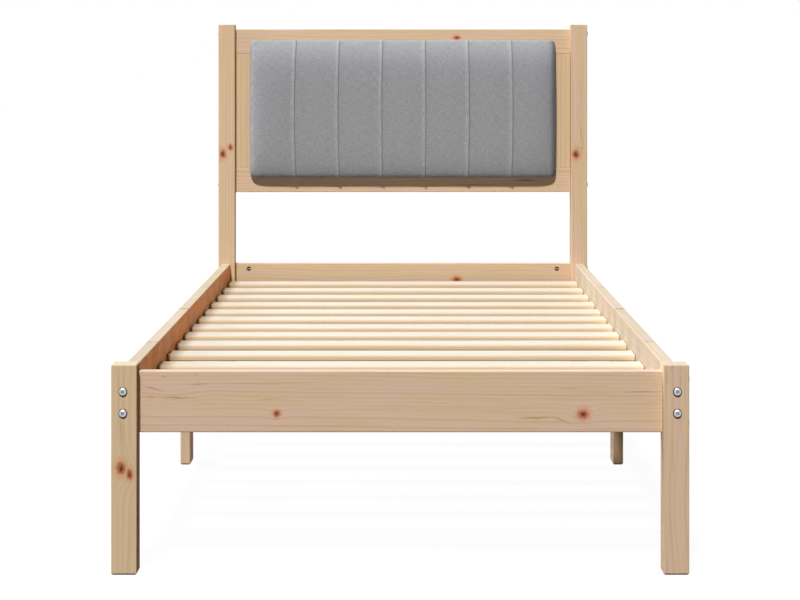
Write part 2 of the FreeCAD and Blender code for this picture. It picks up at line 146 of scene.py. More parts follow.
def new_group(name, inputs, outputs):
    """An empty shader group with named sockets: its tree, its shade and the two ends of its sockets."""
    tree = bpy.data.node_groups.new(name, "ShaderNodeTree")
    for socket_name, kind in inputs.items():
        tree.interface.new_socket(socket_name, in_out="INPUT", socket_type=SOCKETS[kind])
    for socket_name, kind in outputs.items():
        tree.interface.new_socket(socket_name, in_out="OUTPUT", socket_type=SOCKETS[kind])
    shade = Shade(tree)
    entry = shade.node("NodeGroupInput").outputs
    leave = shade.node("NodeGroupOutput").inputs
    return tree, shade, entry, leave


def new_material(name):
    """A material with nodes; gives it, its shade and its surface node."""
    material = bpy.data.materials.new(name)
    material.use_nodes = True
    return material, Shade(material.node_tree), material.node_tree.nodes["Principled BSDF"]


# Pine

def make_pine_figure():
    """Growth rings, fibres and tone of a pine board, from places along, across and through the board."""
    tree, shade, entry, leave = new_group(
        "pine_figure",
        {"Place": "vector", "Pith": "vector", "Ring width": "value", "Wander": "value",
         "Swell": "value", "Seed": "value"},
        {"Late wood": "value", "Fibre": "value", "Tone": "value", "Streak": "value"},
    )
    along, across, through = shade.split(entry["Place"])[:3]
    seed_step, waver_reach, taper = 7.31, 2.4 * MM, 0.006
    shift = shade.math("MULTIPLY", entry["Seed"], seed_step)

    def stretched(along_scale, side_scale, across_shift=0.0, through_shift=0.0):
        return shade.join(
            shade.math("MULTIPLY_ADD", along, along_scale, shift),
            shade.math("MULTIPLY_ADD", across, side_scale, across_shift),
            shade.math("MULTIPLY_ADD", through, side_scale, through_shift),
        )

    drift = shade.math("SUBTRACT", shade.noise(stretched(1.6, 9.0, across_shift=shift), 1.0, 1.0), 0.5)
    waver = shade.math("SUBTRACT", shade.noise(stretched(7.0, 40.0, through_shift=shift), 1.0, 2.0), 0.5)
    from_pith = shade.vector("SUBTRACT", shade.join(0.0, across, through), entry["Pith"])
    radius = shade.vector("LENGTH", from_pith)
    radius = shade.math("MULTIPLY_ADD", drift, entry["Wander"], radius)
    radius = shade.math("MULTIPLY_ADD", waver, waver_reach, radius)
    radius = shade.math("MULTIPLY_ADD", along, taper, radius)
    radius = shade.math("ADD", radius, entry["Swell"])
    rings = shade.math("DIVIDE", radius, entry["Ring width"])
    ring = shade.math("FRACT", rings)
    year = shade.chance(shade.math("FLOOR", rings))
    rise = shade.fade(ring, 0.25, 0.90)
    fall = shade.fade(ring, 0.92, 1.0, 1.0, 0.0)
    strength = shade.math("MULTIPLY_ADD", year, 0.90, 0.10)
    late = shade.math("MULTIPLY", shade.math("MULTIPLY", rise, fall), strength)
    shade.put(leave["Late wood"], late)
    shade.put(leave["Fibre"], shade.noise(stretched(9.0, 520.0), 1.0, 3.0, 0.6))
    shade.put(leave["Tone"], shade.noise(stretched(5.0, 42.0, across_shift=shift), 1.0, 2.0))
    shade.put(leave["Streak"], shade.fade(shade.noise(stretched(5.0, 170.0), 1.0, 2.0), 0.62, 0.80))
    return tree


def make_pine_knot():
    """One knot: how far it pushes the rings aside, and its heart, rim and stained surroundings."""
    tree, shade, entry, leave = new_group(
        "pine_knot",
        {"Place": "vector", "Centre": "vector", "Reach": "vector", "Push": "value"},
        {"Swell": "value", "Heart": "value", "Rim": "value", "Stain": "value"},
    )
    offset = shade.vector("SUBTRACT", entry["Place"], entry["Centre"])
    scaled = shade.vector("DIVIDE", offset, entry["Reach"])
    ragged = shade.math("SUBTRACT", shade.noise(entry["Place"], 170.0, 3.0), 0.5)
    distance = shade.math("MULTIPLY_ADD", ragged, 1.1, shade.vector("LENGTH", scaled))
    wide = shade.vector("LENGTH", shade.vector("MULTIPLY", scaled, (0.30, 0.42, 0.42)))
    bell = shade.math("POWER", math.e, shade.math("MULTIPLY", shade.math("MULTIPLY", wide, wide), -1.0))
    shade.put(leave["Swell"], shade.math("MULTIPLY", bell, entry["Push"]))
    shade.put(leave["Heart"], shade.fade(distance, 0.30, 1.0, 1.0, 0.0))
    rim = shade.math("MULTIPLY", shade.fade(distance, 0.4, 0.9), shade.fade(distance, 0.9, 1.6, 1.0, 0.0))
    shade.put(leave["Rim"], rim)
    shade.put(leave["Stain"], shade.fade(distance, 0.6, 3.0, 1.0, 0.0))
    return tree


def make_worn_highlit_edges():
    """A mask along the edges of a straight piece, from its half sizes. The edges it marks are lighter,
    partly from wear and partly as a painted highlight.
    """
    tree, shade, entry, leave = new_group(
        "worn_highlit_edges", {"Place": "vector", "Half size": "vector", "Width": "value"}, {"Edge": "value"}
    )
    room = shade.vector("SUBTRACT", entry["Half size"], shade.vector("ABSOLUTE", entry["Place"]))
    x, y, z = shade.split(room)[:3]
    least = shade.math("MINIMUM", shade.math("MINIMUM", x, y), z)
    most = shade.math("MAXIMUM", shade.math("MAXIMUM", x, y), z)
    total = shade.math("ADD", shade.math("ADD", x, y), z)
    middle = shade.math("SUBTRACT", shade.math("SUBTRACT", total, least), most)
    rough = shade.math("MULTIPLY_ADD", shade.noise(entry["Place"], 60.0), 1.4, 0.3)
    reach = shade.math("MULTIPLY", entry["Width"], rough)
    shade.put(leave["Edge"], shade.fade(middle, 0.0, reach, 1.0, 0.0))
    return tree


def make_finger_joint():
    """A glued finger joint across a board at one place along it: its line, and which side a place is on."""
    tree, shade, entry, leave = new_group(
        "finger_joint", {"Place": "vector", "At": "value"}, {"Line": "value", "Side": "value"}
    )
    tooth_width, tooth_slope = 2.0 * MM, 7.0
    line_core, line_reach = 3.0 * MM, 8.5 * MM
    place = shade.split(entry["Place"])
    tooth = shade.math("PINGPONG", place["Z"], tooth_width)
    edge = shade.math("MULTIPLY_ADD", tooth, tooth_slope, entry["At"])
    gap = shade.math("SUBTRACT", place["X"], edge)
    shade.put(leave["Line"], shade.fade(shade.math("ABSOLUTE", gap), line_core, line_reach, 1.0, 0.0))
    shade.put(leave["Side"], shade.math("GREATER_THAN", gap, 0.0))
    return tree


def make_resin_streak():
    """One thin streak along the grain, at a slight lean."""
    tree, shade, entry, leave = new_group(
        "resin_streak",
        {"Place": "vector", "Centre": "vector", "Reach": "vector", "Lean": "value"},
        {"Streak": "value"},
    )
    along, across = shade.split(shade.vector("SUBTRACT", entry["Place"], entry["Centre"]))[:2]
    level = shade.math("MULTIPLY", along, entry["Lean"])
    waver = 1.0 * MM
    ragged = shade.math("MULTIPLY_ADD", shade.noise(entry["Place"], 80.0), 2 * waver, -waver)
    off_line = shade.math("ADD", shade.math("SUBTRACT", across, level), ragged)
    scaled = shade.vector("DIVIDE", shade.join(along, off_line, 0.0), entry["Reach"])
    square = shade.vector("DOT_PRODUCT", scaled, scaled)
    shade.put(leave["Streak"], shade.math("POWER", math.e, shade.math("MULTIPLY", square, -1.0)))
    return tree


def make_face_painted_light():
    """Painted light and shade: a colour that changes on the faces that look one way, paler where light falls
    on them and darker where they are in shade.
    """
    tree, shade, entry, leave = new_group(
        "face_painted_light",
        {"Colour": "colour", "Normal": "vector", "Direction": "vector", "Start": "value", "Full": "value",
         "Change": "vector", "Strength": "value"},
        {"Colour": "colour"},
    )
    squareness = shade.vector("DOT_PRODUCT", entry["Normal"], entry["Direction"])
    share = shade.math("MULTIPLY", shade.fade(squareness, entry["Start"], entry["Full"]), entry["Strength"])
    shade.put(leave["Colour"], shade.tinted(entry["Colour"], share, entry["Change"]))
    return tree


def make_slat_painted_shade():
    """Painted shade: a colour that is darker along a slat's lower edge, where the gap beneath is in shade,
    with a painted shadow of the side rail at its left end.
    """
    tree, shade, entry, leave = new_group(
        "slat_painted_shade",
        {"Colour": "colour", "From below": "value", "From left": "value"},
        {"Colour": "colour"},
    )
    # Painted shade along the lower edge and a painted shadow at the left end
    dim = shade.fade(entry["From below"], 1.0 * MM, 3.2 * MM, 0.45, 1.0)
    near_end = shade.fade(entry["From left"], 3.0 * MM, 35.0 * MM, 1.0, 0.0)
    end_change = (-0.46, -0.51, -0.60)
    shade.put(leave["Colour"], shade.tinted(shade.dimmed(entry["Colour"], dim), near_end, end_change))
    return tree


PINE_FIGURE = make_pine_figure()
PINE_KNOT = make_pine_knot()
WORN_HIGHLIT_EDGES = make_worn_highlit_edges()
FINGER_JOINT = make_finger_joint()
RESIN_STREAK = make_resin_streak()
FACE_PAINTED_LIGHT = make_face_painted_light()
SLAT_PAINTED_SHADE = make_slat_painted_shade()

UP, DOWN, RIGHT, LEFT, FRONT = (0, 0, 1), (0, 0, -1), (1, 0, 0), (-1, 0, 0), (0, -1, 0)
# How squarely a face looks a certain way where its painted light and shade start and where they are full
FLAT_FACE = (0.80, 0.995)
# In the faces entry every top is painted paler and less red: a painted highlight of the light from above and
# its sheen
FRAME_TONES = {
    "early": srgb(218, 186, 163), "warm": srgb(214, 187, 150), "late": srgb(190, 152, 118),
    "streak": srgb(170, 126, 92), "edge": srgb(224, 199, 172), "heart": srgb(92, 30, 12),
    "rim": srgb(150, 70, 38), "stain": srgb(212, 130, 88), "line": srgb(150, 92, 48),
    "resin": srgb(160, 100, 66), "faces": ((UP, *FLAT_FACE, (0.0, 0.18, 0.33)),),
    "gloss": 0.52, "shine": 0.10,
}
# The slats and their ledgers have no knots, joints or resin streaks
SLAT_TONES = {
    "early": srgb(229, 203, 168), "warm": srgb(226, 199, 160), "late": srgb(212, 183, 142),
    "streak": srgb(196, 164, 122), "edge": srgb(229, 204, 170),
    # Painted highlight and reflection: the slats' tops paler and whiter, their rounded front edges less red
    "faces": ((UP, 0.0, 0.60, (-0.16, -0.10, 0.05)), (UP, 0.75, 0.995, (0.14, 0.28, 0.47))),
    "gloss": 0.45, "shine": 0.15,
}
LATE_WOOD_SHARE = 0.45
STREAK_SHARE = 0.20
WORN_HIGHLIT_EDGE_WIDTH, WORN_HIGHLIT_EDGE_SHARE = 3.0 * MM, 0.30
KNOT_STAIN_SHARE, KNOT_RIM_SHARE, KNOT_HEART_SHARE = 0.66, 0.60, 0.92
PLANK_STEP = 0.83
SIDE_LINE_SHARE = 0.45
# Axes along, across and through a piece by the axis of its length, and those of a slat, which lies flat
AXES = {"X": (0, 2, 1), "Y": (1, 2, 0), "Z": (2, 0, 1)}
FLAT_X = (0, 1, 2)


def pine_material(name, tones, order, pith, ring_width, seed, warmth=0.5, wander=12, knots=(), ripples=(),
                  joints=(), faces=(), streaks=(), shaded=False):
    """Pine for one CAD node, its figure running along the piece's own length.

    order gives the axes along, across and through the piece. Knots are (along, across, reach along, reach
    across, push), ripples the same without a heart, joints (place along, darkness), and streaks (along,
    across, reach along, reach across, lean, darkness), all from the piece's middle, in mm. Faces are
    (direction, where it starts, where it is full, change of colour), painted light and shade for a side
    that is redder, paler or darker than the rest because of how light falls on it. A shaded piece has
    painted shade along its lower edge and a painted shadow at its left end.
    """
    material, shade, surface = new_material(name + "_pine")
    low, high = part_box(name)
    middle = (low + high) / 2
    half = (high - low) / 2
    whole = shade.node("ShaderNodeTexCoord").outputs["Object"]
    parts = shade.split(shade.vector("SUBTRACT", whole, middle))
    place = shade.join(*[parts[axis] for axis in order])

    swell = heart = rim = stain = 0.0
    depth = half[order[2]] * 3
    marks = [(*knot, True) for knot in knots] + [(*ripple, False) for ripple in ripples]
    for along, across, reach_along, reach_across, push, has_heart in marks:
        knot = shade.group(PINE_KNOT, {
            "Place": place,
            "Centre": (along * MM, across * MM, 0.0),
            "Reach": (reach_along * MM, reach_across * MM, depth),
            "Push": push * MM,
        })
        swell = shade.math("ADD", knot["Swell"], swell)
        if has_heart:
            heart = shade.math("MAXIMUM", knot["Heart"], heart)
            rim = shade.math("MAXIMUM", knot["Rim"], rim)
            stain = shade.math("MAXIMUM", knot["Stain"], stain)

    plank = seed
    line = 0.0
    for at, darkness in joints:
        joint = shade.group(FINGER_JOINT, {"Place": place, "At": at * MM})
        plank = shade.math("MULTIPLY_ADD", joint["Side"], PLANK_STEP, plank)
        line = shade.math("MAXIMUM", shade.math("MULTIPLY", joint["Line"], darkness), line)

    figure = shade.group(PINE_FIGURE, {
        "Place": place,
        "Pith": (0.0, pith[0] * MM, pith[1] * MM),
        "Ring width": ring_width * MM,
        "Wander": wander * MM,
        "Swell": swell,
        "Seed": plank,
    })
    edge = shade.group(WORN_HIGHLIT_EDGES, {
        "Place": place,
        "Half size": [half[axis] for axis in order],
        "Width": WORN_HIGHLIT_EDGE_WIDTH,
    })["Edge"]

    tone = shade.fade(figure["Tone"], 0.80 - warmth, 1.20 - warmth)
    colour = shade.mix(tone, tones["early"], tones["warm"])
    colour = shade.mix(shade.math("MULTIPLY", figure["Late wood"], LATE_WOOD_SHARE), colour, tones["late"])
    colour = shade.mix(shade.math("MULTIPLY", figure["Streak"], STREAK_SHARE), colour, tones["streak"])
    fine = shade.math("MULTIPLY_ADD", figure["Fibre"], 0.22, 0.89)
    colour = shade.dimmed(colour, fine)
    if joints:
        lighter = shade.math("MULTIPLY_ADD", shade.chance(plank), 0.14, 0.91)
        colour = shade.dimmed(colour, lighter)
    # Lighter edges: partly wear, partly a painted highlight where light catches the rounded edges
    colour = shade.mix(shade.math("MULTIPLY", edge, WORN_HIGHLIT_EDGE_SHARE), colour, tones["edge"])
    normal = shade.node("ShaderNodeNewGeometry").outputs["Normal"]
    blotch = shade.noise(shade.vector("MULTIPLY", place, (9.0, 16.0, 16.0)), 1.0, 3.0)
    uneven = shade.fade(blotch, 0.25, 0.75, 0.62, 1.30)
    # Painted light and shade on the faces that look one way: every top paler, and some sides of single
    # pieces lighter or darker, unevenly
    for number, (direction, start, full, change) in enumerate((*tones["faces"], *faces)):
        colour = shade.group(FACE_PAINTED_LIGHT, {
            "Colour": colour,
            "Normal": normal,
            "Direction": direction,
            "Start": start,
            "Full": full,
            "Change": change,
            "Strength": 1.0 if number < len(tones["faces"]) else uneven,
        })["Colour"]
    # Painted shade along the lower edge and a painted shadow at the left end, for the slats and their
    # ledgers
    if shaded:
        colour = shade.group(SLAT_PAINTED_SHADE, {
            "Colour": colour,
            "From below": shade.math("ADD", parts["Z"], half.z),
            "From left": shade.math("ADD", parts["X"], half.x),
        })["Colour"]
    if joints:
        upper = shade.fade(shade.vector("DOT_PRODUCT", normal, UP), *FLAT_FACE, SIDE_LINE_SHARE, 1.0)
        line = shade.math("MULTIPLY", line, upper)
        colour = shade.mix(line, colour, tones["line"])
    for along, across, reach_along, reach_across, lean, darkness in streaks:
        streak = shade.group(RESIN_STREAK, {
            "Place": place,
            "Centre": (along * MM, across * MM, 0.0),
            "Reach": (reach_along * MM, reach_across * MM, 1.0),
            "Lean": lean,
        })["Streak"]
        colour = shade.mix(shade.math("MULTIPLY", streak, darkness), colour, tones["resin"])
    height = shade.math("MULTIPLY_ADD", figure["Late wood"], 0.5, figure["Fibre"])
    if knots:
        colour = shade.mix(shade.math("MULTIPLY", stain, KNOT_STAIN_SHARE), colour, tones["stain"])
        colour = shade.mix(shade.math("MULTIPLY", rim, KNOT_RIM_SHARE), colour, tones["rim"])
        colour = shade.mix(shade.math("MULTIPLY", heart, KNOT_HEART_SHARE), colour, tones["heart"])
        height = shade.math("MULTIPLY_ADD", rim, -0.8, height)
    if joints:
        height = shade.math("MULTIPLY_ADD", line, -1.5, height)

    shade.put(surface.inputs["Base Color"], colour)
    gloss = shade.math("MULTIPLY_ADD", figure["Fibre"], 0.16, tones["gloss"])
    shade.put(surface.inputs["Roughness"], shade.math("MULTIPLY_ADD", figure["Late wood"], -0.05, gloss))
    shade.bump(surface, height, 0.25, 0.4 * MM)
    surface.inputs["Specular IOR Level"].default_value = tones["shine"]
    return material


def finish_node(name, material):
    """Gives a CAD node one material."""
    mesh = nodes[name].data
    mesh.materials.clear()
    mesh.materials.append(material)


RAIL_JOINTS = ((-627, 0.45), (-74, 0.90), (392, 0.40))
FRAME_PIECES = [
    # node, axes along, across and through, pith, ring width, warmth, wander, knots, ripples, finger joints
    ("foot_board", AXES["X"], (-150, 36), 6.6, 0.46, 10, [(-207, -20, 4.5, 4.5, 7), (307, -21, 7, 6.5, 11)],
     [(-383, 4, 12, 10, 5), (-310, 10, 12, 8, -3), (228, -31, 26, 3, 3)], ()),
    ("head_board", AXES["X"], (-30, -60), 6.0, 0.62, 10, [(142, 9, 9, 6, 10)], [(-150, 10, 60, 20, 7)], ()),
    ("side_rail_left", AXES["Y"], (20, 64), 4.8, 0.60, 12, (), [(-400, 10, 60, 20, 8)], RAIL_JOINTS),
    ("side_rail_right", AXES["Y"], (-16, -70), 5.0, 0.55, 12, (), [(300, -8, 60, 20, 8)], RAIL_JOINTS),
    ("foot_post_left", AXES["Z"], (34, 26), 5.4, 0.78, 8, [(3, -4.6, 9, 6, 10), (-7, 9.7, 7, 4, 6)], (), ()),
    ("foot_post_right", AXES["Z"], (-40, 30), 5.8, 0.55, 8, (), [(-60, 4, 30, 12, 6)], ()),
    ("headboard_post_left", AXES["Z"], (44, 18), 5.6, 0.60, 8,
     [(144, -9.4, 9, 6, 9), (161, 10.5, 6, 5, 7)], (), ()),
    ("headboard_post_right", AXES["Z"], (-38, 22), 5.8, 0.58, 8, [(142.7, -7.9, 9, 7, 10)], (), ()),
    ("headboard_top_rail", AXES["X"], (-44, 40), 6.8, 0.52, 10,
     [(142, 9.3, 7, 4, 8)], [(-200, 4, 60, 16, 6)], ()),
    ("headboard_bottom_rail", AXES["X"], (40, -46), 6.4, 0.52, 10, (), [(260, -6, 60, 16, 6)], ()),
    ("headboard_stile_left", AXES["Z"], (50, 40), 6.0, 0.82, 8, (), (), ()),
    ("headboard_stile_centre", AXES["Z"], (-50, 46), 6.0, 0.50, 8, (), (), ()),
    ("headboard_stile_right", AXES["Z"], (46, -42), 6.0, 0.82, 8, (), (), ()),
    ("mid_leg_left", AXES["Z"], (20, 40), 4.4, 0.55, 8, (), (), ()),
    ("mid_leg_right", AXES["Z"], (-24, 40), 4.4, 0.55, 8, (), (), ()),
]
# Painted light and shade on single faces: the left rail's shaded inner face amber, the shaded right sides of
# the left foot post and left mid leg darker, the right mid leg's shaded front darker, the right foot post's
# lit left side paler, the right rail's lit inner face paler, and less of the painted top highlight on the
# rails' tops
PAINTED_LIGHT_AND_SHADE_BY_PIECE = {
    "side_rail_left": [(UP, *FLAT_FACE, (-0.12, -0.13, -0.09)), (RIGHT, *FLAT_FACE, (0.35, -0.27, -0.59))],
    "side_rail_right": [(UP, *FLAT_FACE, (-0.05, -0.07, -0.04)), (LEFT, *FLAT_FACE, (-0.04, 0.09, 0.26))],
    "foot_post_left": [(RIGHT, *FLAT_FACE, (-0.34, -0.62, -0.74))],
    "foot_post_right": [(LEFT, *FLAT_FACE, (0.28, 0.30, 0.32))],
    "mid_leg_left": [(RIGHT, *FLAT_FACE, (-0.20, -0.52, -0.64))],
    "mid_leg_right": [(FRONT, *FLAT_FACE, (-0.46, -0.51, -0.55))],
}
STREAKS = {
    "foot_board": [
        (227, -27, 24, 1.3, 0.02, 0.70), (270, -30.5, 12, 1.5, -0.30, 0.50),
        (406, 16.5, 28, 1.2, 0.0, 0.55), (284, 22.8, 17, 1.2, 0.0, 0.30),
        (-415, 22.5, 14, 1.3, -0.24, 0.60), (-377, 6.9, 24, 1.4, -0.04, 0.60),
        (-420, 8.6, 9, 1.2, -0.10, 0.50), (-339, 29, 14, 1.3, 0.06, 0.45),
        (-246, 31, 70, 1.0, 0.01, 0.35), (-219, 4.4, 20, 1.2, 0.0, 0.30),
        (-397, 41.9, 4, 1.4, -0.1, 0.35), (-343, 46.5, 5, 1.3, 0.05, 0.30),
    ],
    "foot_post_right": [
        (154, -16.4, 10, 0.9, 0.0, 0.40), (147.6, 7.1, 10, 0.9, 0.0, 0.40), (170, -7.4, 5, 1.0, 0.0, 0.35),
        (170, 7.1, 5, 1.0, 0.0, 0.35), (81, 7.6, 20, 0.9, 0.0, 0.35), (20, -6, 26, 0.9, 0.02, 0.30),
    ],
    "foot_post_left": [(67.5, -5, 30, 1.1, -0.06, 0.45), (140, -8, 26, 1.0, 0.0, 0.30)],
    "headboard_post_right": [(193, 6.4, 34, 1.3, -0.13, 0.45), (160, 3.7, 2.2, 8, 0.0, 0.45)],
    "headboard_bottom_rail": [(321, -1, 26, 2.6, 0.0, 0.75), (180, -12, 50, 1.4, 0.0, 0.35)],
}
PIECE_SHINE = {"side_rail_left": 0.05, "foot_post_left": 0.02}
for count, (name, order, pith, ring_width, *details) in enumerate(FRAME_PIECES):
    tones = {**FRAME_TONES, "shine": PIECE_SHINE.get(name, FRAME_TONES["shine"])}
    details += [PAINTED_LIGHT_AND_SHADE_BY_PIECE.get(name, ()), STREAKS.get(name, ())]
    finish_node(name, pine_material(name, tones, order, pith, ring_width, 0.37 + 1.61 * count, *details))

# Slats and ledgers are shaded: painted shade along their lower edges and a painted shadow at their left ends
slat_names = sorted(name for name in nodes if name.startswith("slat_") and "ledger" not in name)
for count, name in enumerate(slat_names):
    pith = (35 * math.sin(2.1 * count), 40 + 18 * math.cos(1.3 * count))
    finish_node(name, pine_material(name, SLAT_TONES, FLAT_X, pith, 4.4, 31.7 + 2.3 * count, shaded=True))
for count, name in enumerate(("slat_ledger_left", "slat_ledger_right")):
    seed = 71.3 + 3.1 * count
    finish_node(name, pine_material(name, SLAT_TONES, AXES["Y"], (30, 40), 4.0, seed, shaded=True))


# Steel hardware

def steel_material(name, dark, bright, gloss):
    """Plated steel with fine spots of duller crystal."""
    material, shade, surface = new_material(name)
    place = shade.node("ShaderNodeTexCoord").outputs["Object"]
    spots = shade.noise(place, 900.0, 3.0)
    shade.put(surface.inputs["Base Color"], shade.mix(spots, dark, bright))
    shade.put(surface.inputs["Roughness"], shade.math("MULTIPLY_ADD", spots, 0.20, gloss))
    surface.inputs["Metallic"].default_value = 1.0
    shade.bump(surface, spots, 0.15, 0.1 * MM)
    return material


ZINC = steel_material("zinc_plated_steel", srgb(176, 178, 184), srgb(206, 208, 213), 0.26)
# Painted shade: darker steels for the bolts' rims and sockets and the nuts' sunken ends, where shade falls
PAINTED_SHADE_STEEL = steel_material("painted_shade_steel", srgb(66, 56, 46), srgb(96, 84, 72), 0.42)
PAINTED_SHADE_SOCKET_STEEL = steel_material("painted_shade_socket_steel", srgb(112, 122, 140), srgb(146, 156, 172), 0.36)
TURNED_SIDES = 48
SLOT_HALF_WIDTH = 1.2
SHARP_ANGLE = math.radians(30)
WELD = 0.02 * MM


def outline_radius(shape, radius, angle):
    """The radius of a round, six-sided, cross-shaped or slot-shaped outline in one direction."""
    if shape == "hexagon":
        return radius / math.cos((angle + math.pi / 6) % (math.pi / 3) - math.pi / 6)
    if shape == "cross":
        return radius * (0.34 + 0.66 * abs(math.cos(2 * angle)) ** 6)
    if shape == "slot":
        end = radius / max(abs(math.cos(angle)), 1e-6)
        side = SLOT_HALF_WIDTH / max(abs(math.sin(angle)), 1e-6)
        return min(end, side)
    return radius


def turned_piece(build, profile, matrix, second_finish=(), third_finish=()):
    """Adds a closed turned form to a bmesh from (shape, radius, height) in mm, from one end to the other.

    The bands of the profile, by number, may have the piece's second or third finish.
    """
    rings = []
    for shape, radius, height in profile:
        ring = []
        for side in range(TURNED_SIDES):
            angle = 2 * math.pi * side / TURNED_SIDES
            reach = outline_radius(shape, radius, angle)
            corner = Vector((reach * math.cos(angle), reach * math.sin(angle), height)) * MM
            ring.append(build.verts.new(matrix @ corner))
        rings.append(ring)
    for band, (first, second) in enumerate(zip(rings, rings[1:])):
        for side in range(TURNED_SIDES):
            after = (side + 1) % TURNED_SIDES
            face = build.faces.new((first[side], first[after], second[after], second[side]))
            face.material_index = 1 if band in second_finish else 2 if band in third_finish else 0
    build.faces.new(list(reversed(rings[0])))
    build.faces.new(rings[-1])


def solid_boxes(name):
    """The lowest and highest corner of every separate solid of a CAD node."""
    build = bmesh.new()
    build.from_mesh(nodes[name].data)
    bmesh.ops.remove_doubles(build, verts=build.verts, dist=WELD)
    waiting = set(build.verts)
    boxes = []
    while waiting:
        found = [waiting.pop()]
        for vert in found:
            for edge in vert.link_edges:
                other = edge.other_vert(vert)
                if other in waiting:
                    waiting.discard(other)
                    found.append(other)
        low = Vector([min(vert.co[axis] for vert in found) for axis in range(3)])
        high = Vector([max(vert.co[axis] for vert in found) for axis in range(3)])
        boxes.append((low, high))
    build.free()
    return sorted(boxes, key=lambda box: tuple(round(value, 5) for value in box[0]))


def finished_piece(name, build, finishes):
    """Makes an object of a bmesh, shaded smooth but for its sharp edges."""
    bmesh.ops.recalc_face_normals(build, faces=build.faces)
    mesh = bpy.data.meshes.new(name)
    build.to_mesh(mesh)
    build.free()
    for finish in finishes:
        mesh.materials.append(finish)
    for face in mesh.polygons:
        face.use_smooth = True
    mesh.set_sharp_from_angle(angle=SHARP_ANGLE)
    piece = bpy.data.objects.new(name, mesh)
    bpy.context.scene.collection.objects.link(piece)
    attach(piece, "root")
    return piece


def facing(place, direction):
    """A matrix that puts +Z of a turned piece along a direction, from a place."""
    direction = Vector(direction).normalized()
    side = Vector((0, 0, 1)) if abs(direction.z) < 0.5 else Vector((1, 0, 0))
    across = side.cross(direction).normalized()
    up = direction.cross(across)
    matrix = Matrix((across, up, direction)).transposed().to_4x4()
    matrix.translation = place
    return matrix


BOLT_HEAD = 4.4
# Bands of the profiles with a second or third finish, the steels painted with shade: the bolt head's rim and
# socket and the nut's sunken end
BOLT_RIM = (2, 3, 4, 5, 6)
BOLT_SOCKET = (13, 14)
NUT_END = (2, 3, 4)
NUT_SET_BACK = 2.4


def bolt_profile(length):
    """A button-head bolt from the tip of its shank to the floor of its hexagon socket, in mm."""
    shank = [("round", 3.2, length), ("round", 4.0, length - 0.9), ("round", 4.0, 0.0)]
    rim = [("round", 7.3, 0.0), ("round", 7.4, -0.3), ("round", 7.4, -1.0), ("round", 6.9, -1.9)]
    dome = []
    for angle in (0, 18, 36, 50, 60):
        turn = math.radians(angle)
        rise = 2.0 * math.sin(turn) / math.sin(math.radians(60))
        dome.append(("round", 6.2 * math.cos(turn), -2.4 - rise))
    socket = [("hexagon", 2.75, -BOLT_HEAD), ("hexagon", 2.55, -4.1), ("hexagon", 2.5, -2.0)]
    socket.append(("round", 0.6, -1.6))
    return shank + rim + dome + socket


def fit_bolts(name):
    """Button-head bolts in the place of a CAD node's plain ones, heads away from the bed's middle."""
    build = bmesh.new()
    for low, high in solid_boxes(name):
        size = high - low
        axis = max(range(3), key=lambda each: size[each])
        middle = (low + high) / 2
        outward = 1 if middle[axis] > 0 else -1
        direction = Vector((0, 0, 0))
        direction[axis] = -outward
        seat = middle.copy()
        seat[axis] = (high if outward > 0 else low)[axis] - outward * BOLT_HEAD * MM
        profile = bolt_profile(size[axis] / MM - BOLT_HEAD)
        turned_piece(build, profile, facing(seat, direction), BOLT_RIM, BOLT_SOCKET)
    piece = finished_piece(name + "_detailed", build, (ZINC, PAINTED_SHADE_STEEL, PAINTED_SHADE_SOCKET_STEEL))
    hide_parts(name)


def fit_barrel_nuts(name, mouth_of):
    """Slotted barrel nuts in the place of a CAD node's plain ones."""
    build = bmesh.new()
    for low, high in solid_boxes(name):
        middle = (low + high) / 2
        mouth = Vector(mouth_of(middle))
        length = abs((high - low).dot(mouth)) / MM
        end = length - NUT_SET_BACK
        profile = [
            ("round", 5.4, 0.0), ("round", 6.0, 0.6), ("round", 6.0, end - 0.6), ("round", 5.4, end),
            ("slot", 4.9, end), ("slot", 4.8, end - 0.8), ("round", 0.5, end - 0.8),
        ]
        turned_piece(build, profile, facing(middle - mouth * (length * MM / 2), mouth), NUT_END)
    piece = finished_piece(name + "_detailed", build, (ZINC, PAINTED_SHADE_STEEL))
    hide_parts(name)


def screw_profile(length):
    """A countersunk screw with a cross recess, from its point to the recess, in mm."""
    return [
        ("round", 0.4, length), ("round", 1.9, length - 3.0), ("round", 1.9, 2.4),
        ("round", 3.7, 0.4), ("round", 3.9, 0.1), ("round", 3.7, 0.0),
        ("cross", 2.6, 0.0), ("cross", 1.5, 1.3), ("round", 0.3, 1.5),
    ]


def fit_screws(name, inward_of):
    """Countersunk screws in the place of a CAD node's plain ones."""
    build = bmesh.new()
    for low, high in solid_boxes(name):
        middle = (low + high) / 2
        inward = Vector(inward_of(middle))
        length = abs((high - low).dot(inward)) / MM
        turned_piece(build, screw_profile(length), facing(middle - inward * (length * MM / 2), inward))
    piece = finished_piece(name + "_detailed", build, (ZINC,))
    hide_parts(name)


def sign(value):
    """Which side of the bed's middle a measure is on."""
    return 1 if value > 0 else -1


for bolts in ("side_rail_bolts", "cross_board_bolts", "headboard_bolts"):
    fit_bolts(bolts)
fit_barrel_nuts("side_rail_barrel_nuts", lambda middle: (-sign(middle.x), 0, 0))
fit_barrel_nuts("cross_board_barrel_nuts", lambda middle: (0, -sign(middle.y), 0))
fit_barrel_nuts("headboard_barrel_nuts", lambda middle: (0, 1, 0))
fit_screws("ledger_screws", lambda middle: (sign(middle.x), 0, 0))
fit_screws("pad_screws", lambda middle: (0, -1, 0))
for name in ("mid_leg_studs", "mid_leg_insert_nuts"):
    finish_node(name, ZINC)


# Upholstered pad

